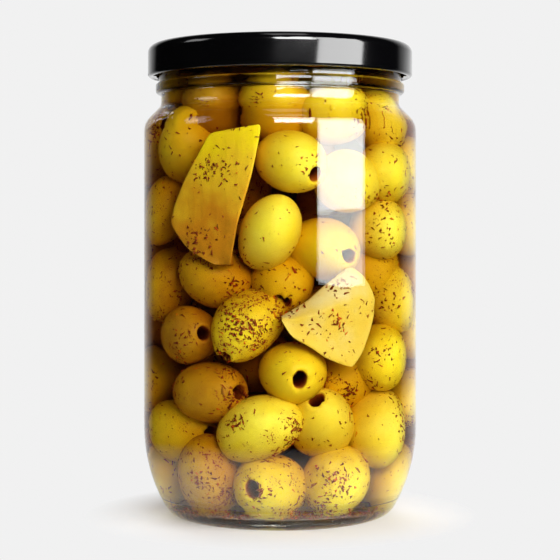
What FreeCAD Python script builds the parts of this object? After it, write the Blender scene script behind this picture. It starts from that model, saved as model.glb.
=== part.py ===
import FreeCAD, Part
import math
import os
from FreeCAD import Vector

# A sealed round glass jar of pitted olives and garlic cloves in oil, with a black twist-off lid.
# Millimetres. The origin is the centre of the ring that the jar stands on, with +Z up the jar.
# Every turned piece is an outline of (radius, height, corner radius) points spun about Z.

# Glass body
body_radius = 43.0
wall = 2.4
base_thickness = 4.2
heel_height = 16.2
heel_inset = 8.3
heel_radius = 50.0
foot_radius = 7.0
foot_ring_width = 1.8
punt_rise = 1.4

# Shoulder and neck
shoulder_height = 123.6
shoulder_radius = 6.3
neck_undercut = 0.65
neck_fillet = 2.5
neck_length = 3.65
bead_height = 3.4
bead_stand = 1.7
bead_round = 1.3

# Finish: the mouth that the lid turns on to
finish_radius = 38.3
finish_wall = 3.4
finish_length = 10.9
rim_round = 0.8
thread_count = 6
thread_stand = 1.4
thread_depth = 1.5
thread_span = 46.0
thread_slope = 1.2
thread_root = 0.5

# Lid
lid_height = 10.2
skirt_clearance = 1.8
lid_sheet = 0.3
lid_corner = 2.6
curl_radius = 0.95
channel_clearance = 0.5
panel_recess = 1.1
panel_clearance = 0.5
panel_slope = 0.9
panel_corner = 0.7
button_radius = 13.0
button_rise = 0.5
button_slope = 1.4
lug_clearance = 0.8
lug_height = 1.3
lug_span = 16.0
lug_drop = 0.25
thread_clearance = 0.2

# Sealing ring between the rim and the lid
seal_thickness = 1.0

# Contents
headspace = 3.6
wetting_gap = 0.1
olive_width = 19.0
olive_length = 24.0
olive_gap = 0.6
olive_spacing = 20.5
row_spacing = 18.2
lean_step = 2.4
lean_range = 62.0
core_inset = 5.8
clove_gap = 0.3
clove_front = 5.0
clove_round = 1.6

# The two cloves: length, width, depth, height of the cut above the middle, drop of the middle
# below the shoulder, bearing and sideways lean in degrees
clove_sizes = {
    "garlic_clove_cut": (50.0, 25.0, 15.0, 17.0, 26.0, -121.0, 15.0),
    "garlic_clove_whole": (36.0, 23.0, 13.0, 16.0, 61.0, -66.0, -24.0),
}

# Places along the jar that follow from the sizes above
neck_radius = finish_radius - neck_undercut
bore_radius = finish_radius - finish_wall
neck_wall = neck_radius - bore_radius
lid_radius = finish_radius + thread_stand + skirt_clearance + lid_sheet
slope_length = body_radius - neck_radius
neck_bottom = shoulder_height + slope_length
bead_bottom = neck_bottom + neck_length
bead_top = bead_bottom + bead_height
rim_top = bead_top + finish_length
lid_top = rim_top + seal_thickness + lid_sheet
lid_bottom = lid_top - lid_height
panel_height = lid_top - panel_recess
level = panel_height - lid_sheet - headspace
inner_radius = body_radius - wall


def rounded(points):
    """Edges of an outline whose corners are rounded by tangent arcs, limited by their sides."""
    corners = [Vector(radius, 0, height) for radius, height, _ in points]
    cuts = [0.0] * len(points)
    turns = [0.0] * len(points)
    for i in range(1, len(points) - 1):
        arriving = (corners[i] - corners[i - 1]).normalize()
        leaving = (corners[i + 1] - corners[i]).normalize()
        turns[i] = arriving.getAngle(leaving)
        cuts[i] = points[i][2] * math.tan(turns[i] / 2)
    for i in range(len(points) - 1):
        side = (corners[i + 1] - corners[i]).Length
        used = cuts[i] + cuts[i + 1]
        if used > 0.98 * side:
            cuts[i] *= 0.98 * side / used
            cuts[i + 1] *= 0.98 * side / used
    edges = []
    last = corners[0]
    for i in range(1, len(points)):
        here = corners[i]
        if cuts[i] > 0.0:
            before = (corners[i - 1] - here).normalize()
            after = (corners[i + 1] - here).normalize()
            start = here + before * cuts[i]
            end = here + after * cuts[i]
            radius = cuts[i] / math.tan(turns[i] / 2)
            inward = (before + after).normalize()
            middle = here + inward * (radius / math.cos(turns[i] / 2) - radius)
            edges.append(Part.LineSegment(last, start).toShape())
            edges.append(Part.Arc(start, middle, end).toShape())
            last = end
        else:
            edges.append(Part.LineSegment(last, here).toShape())
            last = here
    return edges


def offset(points, distance):
    """The same outline moved sideways to its right, each corner keeping its centre of rounding."""
    corners = [Vector(radius, 0, height) for radius, height, _ in points]
    ways = [(b - a).normalize() for a, b in zip(corners, corners[1:])]
    sides = [Vector(way.z, 0, -way.x) for way in ways]
    moved = []
    for i, point in enumerate(points):
        before = max(i - 1, 0)
        after = min(i, len(ways) - 1)
        bisector = sides[before] + sides[after]
        shift = bisector * (2 * distance / bisector.Length ** 2)
        turn = ways[before].z * ways[after].x - ways[before].x * ways[after].z
        corner = 0.0
        if point[2] > 0.0:
            corner = max(point[2] - math.copysign(distance, turn), 0.1)
        moved.append((corners[i].x + shift.x, corners[i].z + shift.z, corner))
    return moved


def spun(edges, angle=360.0):
    """The solid swept by a closed outline turned about Z."""
    face = Part.Face(Part.Wire(Part.__sortEdges__(edges)))
    return face.revolve(Vector(0, 0, 0), Vector(0, 0, 1), angle)


def closing(points):
    """Straight edges that join an outline's two ends along the axis."""
    first = Vector(points[0][0], 0, points[0][1])
    last = Vector(points[-1][0], 0, points[-1][1])
    foot = Vector(0, 0, first.z)
    head = Vector(0, 0, last.z)
    stops = [last, head, foot, first]
    pairs = zip(stops, stops[1:])
    return [Part.LineSegment(a, b).toShape() for a, b in pairs if (b - a).Length > 1e-6]


def sector(inner, outer, bottom, top, span, middle):
    """A block of ring between two radii and two heights, centred on a direction."""
    points = [(inner, bottom, 0), (outer, bottom, 0), (outer, top, 0), (inner, top, 0), (inner, bottom, 0)]
    block = spun(rounded(points), span)
    block.rotate(Vector(0, 0, 0), Vector(0, 0, 1), middle - span / 2)
    return block


def export(shape, node):
    shape.exportStep("parts/" + node + ".step")


def outer_outline():
    """The outside of the glass, from the standing ring up to the rim."""
    bead_radius = neck_radius + bead_stand
    return [
        (body_radius - heel_inset, 0, foot_radius),
        (body_radius, heel_height, heel_radius),
        (body_radius, shoulder_height, shoulder_radius),
        (neck_radius, neck_bottom, neck_fillet),
        (neck_radius, bead_bottom, bead_round / 3),
        (bead_radius, bead_bottom, bead_round),
        (bead_radius, bead_top, bead_round),
        (finish_radius, bead_top, bead_round / 3),
        (finish_radius, rim_top, rim_round),
    ]


def inner_outline():
    """The inside of the glass, from the middle of the floor up to the rim."""
    slope = heel_inset / heel_height
    slant = math.hypot(1.0, slope)
    heel_top = heel_height + wall * (slant - 1.0) / slope
    floor_radius = body_radius - wall * slant - slope * (heel_height - base_thickness)
    turn = math.tan(math.radians(22.5))
    return [
        (0, base_thickness, 0),
        (floor_radius, base_thickness, foot_radius + wall),
        (inner_radius, heel_top, heel_radius - wall),
        (inner_radius, shoulder_height - wall * turn, shoulder_radius - wall),
        (bore_radius, neck_bottom - neck_wall * turn, neck_fillet + neck_wall),
        (bore_radius, rim_top, rim_round),
    ]


def glass_jar():
    """The blown jar: walls, pushed-up base, bead, and the thread ridges that the lid's lugs catch."""
    outside = outer_outline()
    inside = inner_outline()
    foot_turn = math.atan(heel_height / heel_inset)
    ring_outer = body_radius - heel_inset - foot_radius * math.tan(foot_turn / 2)
    ring_inner = ring_outer - foot_ring_width
    middle_radius = (bore_radius + finish_radius) / 2
    walk = [(ring_inner, 0, 0)] + outside + [(middle_radius, rim_top, 0)]
    shell = rounded(walk)
    shell += rounded([(middle_radius, rim_top, 0)] + inside[::-1])
    punt_top = Vector(0, 0, punt_rise)
    punt_side = Vector(ring_inner * 0.72, 0, punt_rise * 0.62)
    ring_edge = Vector(ring_inner, 0, 0)
    shell.append(Part.Arc(punt_top, punt_side, ring_edge).toShape())
    shell.append(Part.LineSegment(punt_top, Vector(0, 0, base_thickness)).toShape())
    jar = spun(shell)
    ridge_bottom = lid_bottom + lug_drop + lug_height + thread_clearance
    swing = finish_radius * math.sin(math.radians(thread_span / 2)) * math.tan(math.radians(thread_slope))
    for i in range(thread_count):
        middle = 360.0 * i / thread_count
        ridge = sector(
            finish_radius - thread_root,
            finish_radius + thread_stand,
            ridge_bottom + swing,
            ridge_bottom + swing + thread_depth,
            thread_span,
            0.0,
        )
        ridge.rotate(Vector(0, 0, ridge_bottom + swing), Vector(1, 0, 0), thread_slope)
        ridge.rotate(Vector(0, 0, 0), Vector(0, 0, 1), middle)
        jar = jar.fuse(ridge)
    return jar.removeSplitter()


def lid_outline():
    """The top face of the lid's sheet, from the button out and down the skirt."""
    channel_inner = bore_radius - panel_clearance
    return [
        (0, panel_height + button_rise, 0),
        (button_radius, panel_height + button_rise, panel_corner),
        (button_radius + button_slope, panel_height, panel_corner),
        (channel_inner, panel_height, panel_corner),
        (channel_inner + panel_slope, lid_top, panel_corner),
        (lid_radius, lid_top, lid_corner),
        (lid_radius, lid_bottom + curl_radius, 0),
    ]


def lid():
    """The pressed steel cap: recessed panel with its button, channel, skirt, curled edge and lugs."""
    outside = lid_outline()
    inside = offset(outside, lid_sheet)
    upper = rounded(outside)
    lower = rounded(inside)
    ends = [
        Part.LineSegment(Vector(0, 0, inside[0][1]), Vector(0, 0, outside[0][1])).toShape(),
        Part.LineSegment(
            Vector(inside[-1][0], 0, inside[-1][1]), Vector(outside[-1][0], 0, outside[-1][1])
        ).toShape(),
    ]
    cap = spun(upper + lower + ends)
    curl_middle = Vector(0, 0, lid_bottom + curl_radius)
    cap = cap.fuse(Part.makeTorus(lid_radius - curl_radius, curl_radius, curl_middle))
    for i in range(thread_count):
        lug = sector(
            finish_radius + lug_clearance,
            lid_radius - curl_radius,
            lid_bottom + lug_drop,
            lid_bottom + lug_drop + lug_height,
            lug_span,
            360.0 * i / thread_count,
        )
        cap = cap.fuse(lug)
    return cap.removeSplitter()


def lid_seal():
    """The soft ring in the lid's channel, pressed on to the glass rim."""
    inner = bore_radius - panel_clearance + panel_slope + channel_clearance
    outer = lid_radius - lid_corner
    ring = Part.makeCylinder(outer, seal_thickness, Vector(0, 0, rim_top))
    return ring.cut(Part.makeCylinder(inner, seal_thickness, Vector(0, 0, rim_top)))


def clove(length, width, depth, cut, grow=0.0):
    """A garlic clove: a domed back over two flat flanks, its long way along Z and its back to +X."""
    chord = length / 2
    dome = (chord * chord + depth * depth) / (2 * depth)
    ball = Part.makeSphere(dome + grow, Vector(depth / 2 - dome, 0, 0))
    front = -depth / 2 - grow
    far = depth + grow
    rise = (width / 2) / depth
    side = grow * math.hypot(1.0, rise)
    spread = side + rise * (far - front)
    corners = [
        Vector(front, -side, -length),
        Vector(far, -spread, -length),
        Vector(far, spread, -length),
        Vector(front, side, -length),
    ]
    if grow == 0.0:
        corners.pop()
    flanks = Part.Face(Part.makePolygon(corners + corners[:1]))
    segment = ball.common(flanks.extrude(Vector(0, 0, length + cut + grow)))
    if grow == 0.0:
        segment = segment.makeFillet(clove_round, segment.Edges)
    return segment


def garlic(node, grow=0.0, outward=0.0):
    """A clove standing against the glass: leaning sideways, its back turned to a bearing."""
    length, width, depth, cut, drop, bearing, lean = clove_sizes[node]
    piece = clove(length, width, depth, cut, grow)
    piece.rotate(Vector(0, 0, 0), Vector(1, 0, 0), lean)
    reach = inner_radius - olive_gap - depth / 2 + outward
    piece.translate(Vector(reach, 0, shoulder_height - drop))
    piece.rotate(Vector(0, 0, 0), Vector(0, 0, 1), bearing)
    return piece


def olive_reach(height):
    """How far from the axis an olive's middle can lie at a height, a gap clear of the glass."""
    room = olive_width / 2 + olive_gap
    slope = heel_inset / heel_height
    heel_top = heel_height + heel_radius * math.tan(math.atan(slope) / 2)
    bend = heel_radius - wall - room
    below = max(heel_top - height, 0.0)
    heel_reach = body_radius - heel_radius + math.sqrt(max(bend * bend - below * below, 0.0))
    shoulder = shoulder_height - wall * math.tan(math.radians(22.5))
    shoulder_reach = inner_radius - (height - shoulder) - room * math.sqrt(2.0)
    widest = min(inner_radius - room, heel_reach, shoulder_reach)
    return max(widest, bore_radius - room)


def olive_heap():
    """The packed olives as one piece: a core with a swelling of two balls for each at the glass."""
    ball_radius = olive_width / 2
    half_split = (olive_length - olive_width) / 2
    lowest = base_thickness + olive_gap + ball_radius + half_split
    highest = level - olive_gap - ball_radius - half_split
    rows = max(round((highest - lowest) / row_spacing), 1) + 1
    core = Part.makeCylinder(bore_radius - core_inset, highest - lowest, Vector(0, 0, lowest))
    balls = []
    for row in range(rows):
        height = lowest + (highest - lowest) * row / (rows - 1)
        reach = min(olive_reach(height - half_split), olive_reach(height + half_split))
        count = int(2 * math.pi * reach / olive_spacing)
        for i in range(count):
            lean = math.radians(lean_range * math.sin(lean_step * (i + row * rows)))
            bearing = 360.0 * (i + row / 2) / count
            for end in (-half_split, half_split):
                middle = Vector(reach, -end * math.sin(lean), height + end * math.cos(lean))
                ball = Part.makeSphere(ball_radius, middle)
                ball.rotate(Vector(0, 0, 0), Vector(0, 0, 1), bearing)
                balls.append(ball)
    heap = core.multiFuse(balls)
    for node in clove_sizes:
        heap = heap.cut(garlic(node, clove_gap))
        heap = heap.cut(garlic(node, clove_gap, clove_front))
    return heap


def oil(heap):
    """The oil up to its level, round the olives and the cloves.

    Specks of oil shut in between a clove and the olives behind it are left out.
    """
    liquid = offset(inner_outline(), -wetting_gap)[:-1]
    liquid[0] = (0, liquid[1][1], 0)
    liquid.append((liquid[-1][0], level, 0))
    body = spun(rounded(liquid) + closing(liquid))
    body = body.cut(heap)
    for node in clove_sizes:
        body = body.cut(garlic(node, clove_gap))
    return max(body.Solids, key=lambda solid: solid.Volume)


os.makedirs("parts", exist_ok=True)
export(glass_jar(), "glass_jar")
export(lid(), "lid")
export(lid_seal(), "lid_seal")
olives = olive_heap()
export(olives, "olive_heap")
for name in clove_sizes:
    export(garlic(name), name)
export(oil(olives), "oil")
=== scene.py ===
import math
import random

import bmesh
import bpy
import numpy as np
from mathutils import Matrix, Vector


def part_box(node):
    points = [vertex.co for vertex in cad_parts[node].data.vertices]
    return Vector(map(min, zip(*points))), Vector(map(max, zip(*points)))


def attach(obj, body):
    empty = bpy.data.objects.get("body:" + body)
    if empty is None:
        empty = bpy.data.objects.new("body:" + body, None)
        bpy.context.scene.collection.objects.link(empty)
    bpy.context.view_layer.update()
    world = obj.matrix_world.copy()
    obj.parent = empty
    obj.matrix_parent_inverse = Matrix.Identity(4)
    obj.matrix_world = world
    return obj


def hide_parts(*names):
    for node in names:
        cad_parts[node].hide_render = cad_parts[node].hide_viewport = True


bl_info = {
    "name": "Jar of olives",
    "version": (1, 0, 0),
    "blender": (4, 5, 0),
    "location": "3D View > Sidebar > Olive jar",
    "description": "Olives, garlic, herbs and oil in a glass jar with a black twist-off lid",
    "category": "Object",
}

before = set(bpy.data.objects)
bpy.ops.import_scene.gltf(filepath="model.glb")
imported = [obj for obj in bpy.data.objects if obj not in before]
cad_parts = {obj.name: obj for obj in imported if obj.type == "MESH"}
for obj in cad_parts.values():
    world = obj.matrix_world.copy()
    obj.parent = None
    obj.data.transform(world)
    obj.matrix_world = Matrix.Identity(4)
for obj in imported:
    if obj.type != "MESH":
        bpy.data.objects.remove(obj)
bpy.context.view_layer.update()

MM = 0.001
oil_low, oil_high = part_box("oil")
OIL_LEVEL = oil_high.z
FLOOR_TOP = oil_low.z
BODY_INSIDE = oil_high.x
CORNER_STEPS = 8


# ---- settings


def length_property(description, default):
    return bpy.props.FloatProperty(description=description, default=default, unit="LENGTH", precision=5)


def plain_property(description, default):
    return bpy.props.FloatProperty(description=description, default=default)


def hex_property(description, default):
    return bpy.props.StringProperty(description=description, default=default)


class OliveJarSizes(bpy.types.PropertyGroup):
    """Sizes of the inside of the jar, and of what it holds."""

    floor_radius: length_property("Inside radius of the floor, before its corner", 34.15 * MM)
    floor_corner: length_property("Rounding of the corner round the floor", 9.4 * MM)
    heel_height: length_property("Height at which the inside of the body is upright", 16.8 * MM)
    heel_corner: length_property("Rounding between the heel and the body", 47.6 * MM)
    shoulder_height: length_property("Height of the inside of the shoulder", 122.6 * MM)
    shoulder_corner: length_property("Rounding of the inside of the shoulder", 3.9 * MM)
    neck_height: length_property("Height at which the bore of the neck starts", 127.8 * MM)
    neck_corner: length_property("Rounding between the shoulder and the bore", 5.25 * MM)
    bore_radius: length_property("Inside radius of the neck", 34.9 * MM)
    oil_reach: length_property("How far the oil runs into the glass", 0.7 * MM)
    olive_width: length_property("Width of a middling olive", 19 * MM)
    olive_length: length_property("Length of a middling olive", 24 * MM)
    pit_radius: length_property("Radius of the hole that the stone left", 2.4 * MM)
    pit_depth: length_property("Depth of the hole that the stone left", 9 * MM)
    flake_length: length_property("Length of a middling herb flake", 1.4 * MM)
    flake_thickness: length_property("Thickness of a herb flake", 0.12 * MM)
    herbs_per_olive: bpy.props.IntProperty(
        description="Herb flakes on an olive of middling dustiness", default=90
    )
    herbs_on_floor: bpy.props.IntProperty(description="Flakes on the floor of the jar", default=2600)
    seed: bpy.props.IntProperty(description="Seed for all that is scattered", default=11)


class OliveJarColours(bpy.types.PropertyGroup):
    """Colours as sRGB hex values."""

    pale_olive: hex_property("The palest olives", "F4E858")
    ripe_olive: hex_property("Most olives", "EED828")
    golden_olive: hex_property("The deeper olives", "DEB41A")
    # The brown end is partly the olives' own colour and partly painted shade, given to olives on the left,
    # away from the key light.
    brown_and_shaded_olive: hex_property("Olives that the oil has browned", "B07A18")
    # Painted shade deep inside an olive's hole, where the recess falls dark.
    pit: hex_property("Inside the hole of an olive", "6A220C")
    pit_rim: hex_property("Torn flesh round the hole", "A8601C")
    garlic_gold: hex_property("Garlic steeped through with oil", "EBC42C")
    garlic_cream: hex_property("Garlic that has kept its colour", "DCD09C")
    garlic_bright: hex_property("Golden garlic at its palest end", "F8E018")
    steeped: hex_property("Garlic that has begun to take up oil", "DCC050")
    garlic_brown: hex_property("Edges of the garlic", "CF8E1E")
    herb_dark: hex_property("Darkest herb flakes", "64260F")
    herb_mid: hex_property("Most herb flakes", "97451F")
    herb_light: hex_property("Lightest herb flakes", "A87428")
    chilli: hex_property("Chilli flakes", "DA5A1C")
    oil: hex_property("Herbed oil", "E4C86C")
    enamel: hex_property("Lid enamel", "040405")
    glass: hex_property("Faint cast of the glass", "F7FCF9")
    sealing: hex_property("Sealing ring of the lid", "CFC7B8")
    sealing_shade: hex_property("Duller flow of the sealing ring", "B8AE9A")
    sweep: hex_property("Backdrop, and the floor beyond the shadow", "F1F1F1")
    paper: hex_property("Floor where the shadow falls", "E7E7E7")


class OliveJarStage(bpy.types.PropertyGroup):
    """Camera and lamps."""

    camera_distance: length_property("From the jar's axis to the camera", 0.530)
    camera_height: length_property("Height of the level camera", 0.0892)
    lens: plain_property("Focal length in millimetres", 107.4)
    shift: plain_property("Vertical shift of the view", -0.0855)
    key_bearing: plain_property("Degrees right of the front", 52.0)
    key_distance: length_property("From the jar to the large softbox", 0.75)
    key_width: length_property("Width of the large softbox", 0.57)
    key_height: length_property("Height of the large softbox", 0.50)
    key_foot: length_property("Height of the large softbox's lower edge", 0.105)
    key_radiance: plain_property("Brightness of the large softbox", 5.8)
    front_radiance: plain_property("Brightness of the front softbox", 10.2)
    side_radiance: plain_property("Brightness of the left softbox", 1.5)
    back_radiance: plain_property("Brightness of the softbox behind", 5.5)
    top_radiance: plain_property("Brightness of the overhead softbox", 1.0)
    skirt_radiance: plain_property("Brightness under the softbox", 3.0)


def sizes():
    return bpy.context.scene.olive_jar_sizes


def colours():
    return bpy.context.scene.olive_jar_colours


# ---- helpers for meshes


def deselect():
    if bpy.context.object and bpy.context.object.mode != "OBJECT":
        bpy.ops.object.mode_set(mode="OBJECT")
    bpy.ops.object.select_all(action="DESELECT")


def edit():
    bpy.ops.object.mode_set(mode="EDIT")
    bpy.ops.mesh.select_mode(type="VERT")
    bpy.ops.mesh.select_all(action="SELECT")


def pick(test):
    """Selects the points of the piece being edited whose place passes a test."""
    bpy.ops.mesh.select_all(action="DESELECT")
    data = bpy.context.object.data
    mesh = bmesh.from_edit_mesh(data)
    for vert in mesh.verts:
        vert.select = test(vert.co)
    mesh.select_flush(True)
    bmesh.update_edit_mesh(data)


def draw_out(rise, scale):
    """Extrudes the selected edge loop by a rise and scales the new loop about the axis."""
    bpy.ops.mesh.extrude_region_move(TRANSFORM_OT_translate={"value": (0, 0, rise)})
    bpy.ops.transform.resize(value=(scale, scale, 1))


def smooth_over(piece, degrees):
    """Smooth shading up to an angle, with long upright faces kept true where they meet a rounding."""
    bpy.ops.object.shade_smooth_by_angle(angle=math.radians(degrees))
    weighted = piece.modifiers.new("Weighted normals", "WEIGHTED_NORMAL")
    weighted.keep_sharp = True
    weighted.weight = 100
    bpy.ops.object.modifier_apply(modifier=weighted.name)


def turned(name, outline, steps):
    """A closed piece spun about Z from (radius, height) points that start and end on the axis."""
    deselect()
    bpy.ops.mesh.primitive_plane_add(size=MM, location=(0, 0, 0))
    piece = bpy.context.object
    piece.name = name
    piece.data.name = name
    edit()
    bpy.ops.mesh.merge(type="CENTER")
    start = outline[0]
    bpy.ops.transform.translate(value=(start[0], 0, start[1]))
    for here, there in zip(outline, outline[1:]):
        step = (there[0] - here[0], 0, there[1] - here[1])
        bpy.ops.mesh.extrude_region_move(TRANSFORM_OT_translate={"value": step})
    bpy.ops.mesh.select_all(action="SELECT")
    bpy.ops.mesh.spin(steps=steps, angle=2 * math.pi, center=(0, 0, 0), axis=(0, 0, 1))
    bpy.ops.mesh.select_all(action="SELECT")
    bpy.ops.mesh.remove_doubles(threshold=0.01 * MM)
    bpy.ops.mesh.normals_make_consistent(inside=False)
    bpy.ops.object.mode_set(mode="OBJECT")
    smooth_over(piece, 40)
    return piece


def smoothed_copy(node, name):
    """A copy of a CAD node with its triangles joined up, so that its curves shade smoothly."""
    deselect()
    piece = bpy.data.objects.new(name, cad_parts[node].data.copy())
    piece.data.name = name
    bpy.context.scene.collection.objects.link(piece)
    bpy.context.view_layer.objects.active = piece
    piece.select_set(True)
    edit()
    bpy.ops.mesh.remove_doubles(threshold=0.001 * MM)
    bpy.ops.object.mode_set(mode="OBJECT")
    smooth_over(piece, 32)
    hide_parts(node)
    return piece


def arrays_of(piece):
    """A piece's points and faces as arrays, and the piece taken away."""
    data = piece.data
    points = np.empty(len(data.vertices) * 3)
    data.vertices.foreach_get("co", points)
    faces = [tuple(face.vertices) for face in data.polygons]
    bpy.data.objects.remove(piece)
    bpy.data.meshes.remove(data)
    return points.reshape(-1, 3), faces


def joined(name, copies, faces, attributes):
    """One mesh from many copies of the same blank, each already in place."""
    count = len(copies[0])
    loops = np.array([corner for face in faces for corner in face])
    totals = np.array([len(face) for face in faces])
    points = np.concatenate(copies)
    mesh = bpy.data.meshes.new(name)
    mesh.vertices.add(len(points))
    mesh.vertices.foreach_set("co", points.ravel())
    all_loops = (loops[None, :] + count * np.arange(len(copies))[:, None]).ravel()
    all_totals = np.tile(totals, len(copies))
    mesh.loops.add(len(all_loops))
    mesh.loops.foreach_set("vertex_index", all_loops.astype(np.int32))
    mesh.polygons.add(len(all_totals))
    starts = np.concatenate(([0], np.cumsum(all_totals)[:-1]))
    mesh.polygons.foreach_set("loop_start", starts.astype(np.int32))
    mesh.polygons.foreach_set("use_smooth", np.ones(len(all_totals), bool))
    mesh.update(calc_edges=True)
    for key, values in attributes.items():
        layer = mesh.attributes.new(key, "FLOAT", "POINT")
        layer.data.foreach_set("value", np.concatenate(values).astype(np.float32))
    piece = bpy.data.objects.new(name, mesh)
    bpy.context.scene.collection.objects.link(piece)
    return piece


def settle(piece, material):
    """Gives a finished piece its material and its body."""
    piece.data.materials.clear()
    piece.data.materials.append(material)
    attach(piece, "root")


# ---- helpers for materials


def linear(code):
    """A six-digit sRGB hex value as a linear colour."""
    parts = [int(code[i : i + 2], 16) / 255 for i in (0, 2, 4)]
    return (*[p / 12.92 if p <= 0.04045 else ((p + 0.055) / 1.055) ** 2.4 for p in parts], 1.0)


def add(tree, kind, inputs=None, stops=(), **settings):
    """Adds a shader node: its settings, then its inputs, as values or as links from a socket or from a
    node's first output in use, then a colour ramp's (place, hex) stops."""
    node = tree.nodes.new("ShaderNode" + kind)
    for key, value in settings.items():
        setattr(node, key, value)
    for key, value in (inputs or {}).items():
        if isinstance(value, bpy.types.Node):
            value = next(socket for socket in value.outputs if socket.enabled)
        if isinstance(value, bpy.types.NodeSocket):
            tree.links.new(value, node.inputs[key])
        else:
            node.inputs[key].default_value = value
    for i, (place, code) in enumerate(stops):
        elements = node.color_ramp.elements
        element = elements[i] if i < len(elements) else elements.new(place)
        element.position = place
        element.color = linear(code)
    return node


def blank_material(name):
    material = bpy.data.materials.new(name)
    material.use_nodes = True
    material.node_tree.nodes.clear()
    return material, material.node_tree


def let_lamps_through(tree, shader, tint):
    """Clear stuff that lamps shine straight through, and that everything else sees bent and mirrored."""
    path = add(tree, "LightPath").outputs
    straight = add(tree, "Math", {0: path["Is Shadow Ray"], 1: path["Is Diffuse Ray"]}, operation="MAXIMUM")
    clear = add(tree, "BsdfTransparent", {0: tint})
    return add(tree, "MixShader", {0: straight, 1: shader, 2: clear})


# ---- materials


def container_glass():
    """Soda-lime container glass, blown in a mould: very clear, with a faint green cast and the slow
    waviness, about 20 mm from crest to crest, that blowing leaves on its outside."""
    material, tree = blank_material("container glass")
    place = add(tree, "TexCoord").outputs["Object"]
    waves = add(tree, "TexNoise", {"Vector": place, "Scale": 1 / (20 * MM), "Detail": 1.0})
    bump = add(tree, "Bump", {"Height": waves, "Strength": 0.12, "Distance": 0.3 * MM})
    body = {
        "Base Color": linear(colours().glass),
        "Roughness": 0.0,
        "IOR": 1.5,
        "Transmission Weight": 1.0,
        "Normal": bump,
    }
    glass = add(tree, "BsdfPrincipled", body)
    add(tree, "OutputMaterial", {"Surface": let_lamps_through(tree, glass, (0.97, 0.98, 0.97, 1))})
    return material


def herbed_oil():
    """Seed and olive oil that has drawn colour from the herbs: clear gold when thin, brown when deep."""
    material, tree = blank_material("herbed oil")
    body = {"Base Color": (1, 1, 1, 1), "Roughness": 0.0, "IOR": 1.46, "Transmission Weight": 1.0}
    clear = let_lamps_through(tree, add(tree, "BsdfPrincipled", body), (1, 1, 1, 1))
    depth = add(tree, "VolumeAbsorption", {"Color": linear(colours().oil), "Density": 100.0})
    add(tree, "OutputMaterial", {"Surface": clear, "Volume": depth})
    return material


def brined_olive():
    """Brined green olive, stoned and steeped in oil: a smooth waxy skin, mottled from lemon to brown, the
    brown partly painted shade, dusted with ground herbs, with torn flesh round the hole and painted shade
    deep inside it."""
    tints = colours()
    material, tree = blank_material("brined olive")
    place = add(tree, "TexCoord").outputs["Object"]
    keys = ("tone", "pit", "dust")
    tone, pit, dust = [add(tree, "Attribute", attribute_name=key).outputs["Fac"] for key in keys]
    mottle = add(tree, "TexNoise", {"Vector": place, "Scale": 1 / (8 * MM), "Detail": 3.0})
    shift = add(tree, "Math", {0: mottle, 1: 0.5, 2: -0.25}, operation="MULTIPLY_ADD")
    shade = add(tree, "Math", {0: tone, 1: shift}, operation="ADD", use_clamp=True)
    pale_to_brown = (
        (0.0, tints.pale_olive),
        (0.35, tints.ripe_olive),
        (0.7, tints.golden_olive),
        (1.0, tints.brown_and_shaded_olive),
    )
    colour = add(tree, "ValToRGB", {0: shade}, pale_to_brown)
    specks = add(tree, "TexNoise", {"Vector": place, "Scale": 1 / (0.65 * MM), "Detail": 2.0})
    patches = add(tree, "TexNoise", {"Vector": place, "Scale": 1 / (5 * MM), "Detail": 2.0})
    patch = add(tree, "MapRange", {0: patches, 1: 0.42, 2: 0.72})
    bed = add(tree, "Math", {0: patch, 1: dust}, operation="MULTIPLY")
    limit = add(tree, "MapRange", {0: bed, 2: 1.6, 3: 0.72, 4: 0.52})
    above = add(tree, "Math", {0: specks, 1: limit}, operation="SUBTRACT")
    layers = (
        (add(tree, "Math", {0: bed, 1: 0.22}, operation="MULTIPLY", use_clamp=True), tints.herb_light),
        (add(tree, "MapRange", {0: above, 2: 0.03}), tints.herb_mid),
        # Round the mouth, the torn flesh's own colour; deeper in the hole, the pit colour is painted shade.
        (add(tree, "MapRange", {0: pit, 1: 0.2, 2: 0.5}), tints.pit_rim),
        (add(tree, "MapRange", {0: pit, 1: 0.45, 2: 0.9}), tints.pit),
    )
    for share, tint in layers:
        colour = add(tree, "Mix", {0: share, 6: colour, 7: linear(tint)}, data_type="RGBA")
    pores = add(tree, "TexNoise", {"Vector": place, "Scale": 1 / (1.1 * MM), "Detail": 2.0})
    body = {
        "Base Color": colour,
        "Roughness": 0.42,
        "IOR": 1.2,
        "Subsurface Weight": 0.12,
        "Subsurface Radius": (1.0, 0.6, 0.15),
        "Subsurface Scale": 2.5 * MM,
        "Normal": add(tree, "Bump", {"Height": pores, "Strength": 0.12, "Distance": 0.2 * MM}),
    }
    add(tree, "OutputMaterial", {"Surface": add(tree, "BsdfPrincipled", body)})
    return material


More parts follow.
